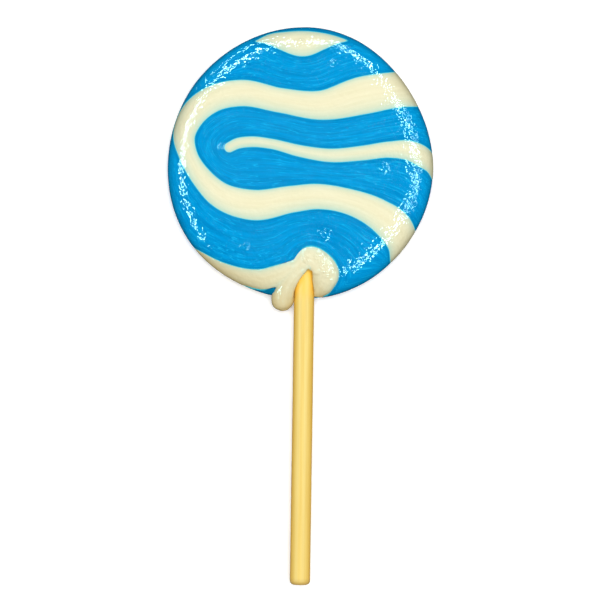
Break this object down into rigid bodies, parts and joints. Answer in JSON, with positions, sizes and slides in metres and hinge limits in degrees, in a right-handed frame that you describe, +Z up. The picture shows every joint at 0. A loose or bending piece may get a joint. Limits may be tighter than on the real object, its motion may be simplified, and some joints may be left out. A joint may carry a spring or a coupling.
{
  "type": "swirl lollipop",
  "caption": "Flat round swirl lollipop in blue and cream pulled sugar on a straight round stick, lying on its back.",
  "frame": {"origin": "middle of the flat spot under the head, on the surface that the lollipop rests on", "axes": "+Y from the stick towards the top of the head, +X to the right as seen from the shown face, +Z up out of the shown face"},
  "size_m": [0.0574, 0.1205, 0.0086],
  "materials": {
    "blue_candy": "glossy pulled sugar, bright blue, with fine flow lines",
    "cream_candy": "glossy pulled sugar, cream white",
    "stick": "smooth straw-yellow stick with a fine lengthwise grain"
  },
  "bodies": {
    "root": {"blue_candy": "blue_candy", "cream_swirl": "cream_candy", "cream_tail": "cream_candy", "cream_top": "cream_candy", "cream_top_back": "cream_candy", "cream_fold": "cream_candy", "stick": "stick"}
  },
  "joints": []
}
